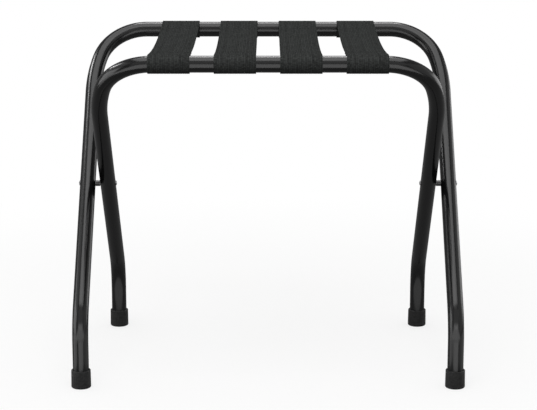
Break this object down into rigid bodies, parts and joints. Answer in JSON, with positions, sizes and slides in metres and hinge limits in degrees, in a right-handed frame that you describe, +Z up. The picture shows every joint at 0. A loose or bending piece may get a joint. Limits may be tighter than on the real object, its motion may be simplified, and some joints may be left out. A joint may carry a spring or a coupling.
{
  "type": "folding luggage rack",
  "caption": "Folding X-frame luggage rack: crossed bent steel tube frames on riveted pivots, with webbing straps across the top bars and rubber foot caps.",
  "frame": {"origin": "on the floor, at the middle of the open rack", "axes": "+X along the top bars, +Y from the front bar towards the back bar, +Z up"},
  "size_m": [0.5392, 0.3882, 0.4626],
  "materials": {
    "powder_coat": "semi-gloss black powder coat on steel tube",
    "webbing": "ribbed woven charcoal webbing",
    "foot_rubber": "matte moulded black rubber",
    "rivet_steel": "black finished steel rivet",
    "spacer_nylon": "black moulded sleeve"
  },
  "bodies": {
    "inner_frame": {"inner_frame_tube": "powder_coat", "left_back_foot_cap": "foot_rubber", "right_back_foot_cap": "foot_rubber"},
    "outer_frame": {"outer_frame_tube": "powder_coat", "left_front_foot_cap": "foot_rubber", "left_pivot_rivet": "rivet_steel", "left_pivot_spacer": "spacer_nylon", "right_front_foot_cap": "foot_rubber", "right_pivot_rivet": "rivet_steel", "right_pivot_spacer": "spacer_nylon"},
    "strap_fronts": {"strap_1_front_half": "webbing", "strap_2_front_half": "webbing", "strap_3_front_half": "webbing", "strap_4_front_half": "webbing"},
    "strap_backs": {"strap_1_back_half": "webbing", "strap_2_back_half": "webbing", "strap_3_back_half": "webbing", "strap_4_back_half": "webbing"}
  },
  "joints": [
    {"name": "frame_fold", "type": "hinge", "parent": "inner_frame", "child": "outer_frame", "pos_m": [0, 0, 0.25349], "axis": [1, 0, 0], "range_deg": [0, 79.78], "deforming": ["strap_1_front_half", "strap_2_front_half", "strap_3_front_half", "strap_4_front_half", "strap_1_back_half", "strap_2_back_half", "strap_3_back_half", "strap_4_back_half"]},
    {"name": "strap_swing", "type": "hinge", "parent": "inner_frame", "child": "strap_fronts", "pos_m": [0, -0.1815, 0.45], "axis": [1, 0, 0], "range_deg": [-48.32, 0]},
    {"name": "strap_crease", "type": "hinge", "parent": "strap_fronts", "child": "strap_backs", "pos_m": [0, 0, 0.45754], "axis": [1, 0, 0], "range_deg": [0, 176.41]}
  ],
  "couplings": [
    {"joint": "strap_swing", "follows": "frame_fold", "ratio": -0.60556},
    {"joint": "strap_crease", "follows": "frame_fold", "ratio": 2.2111}
  ]
}
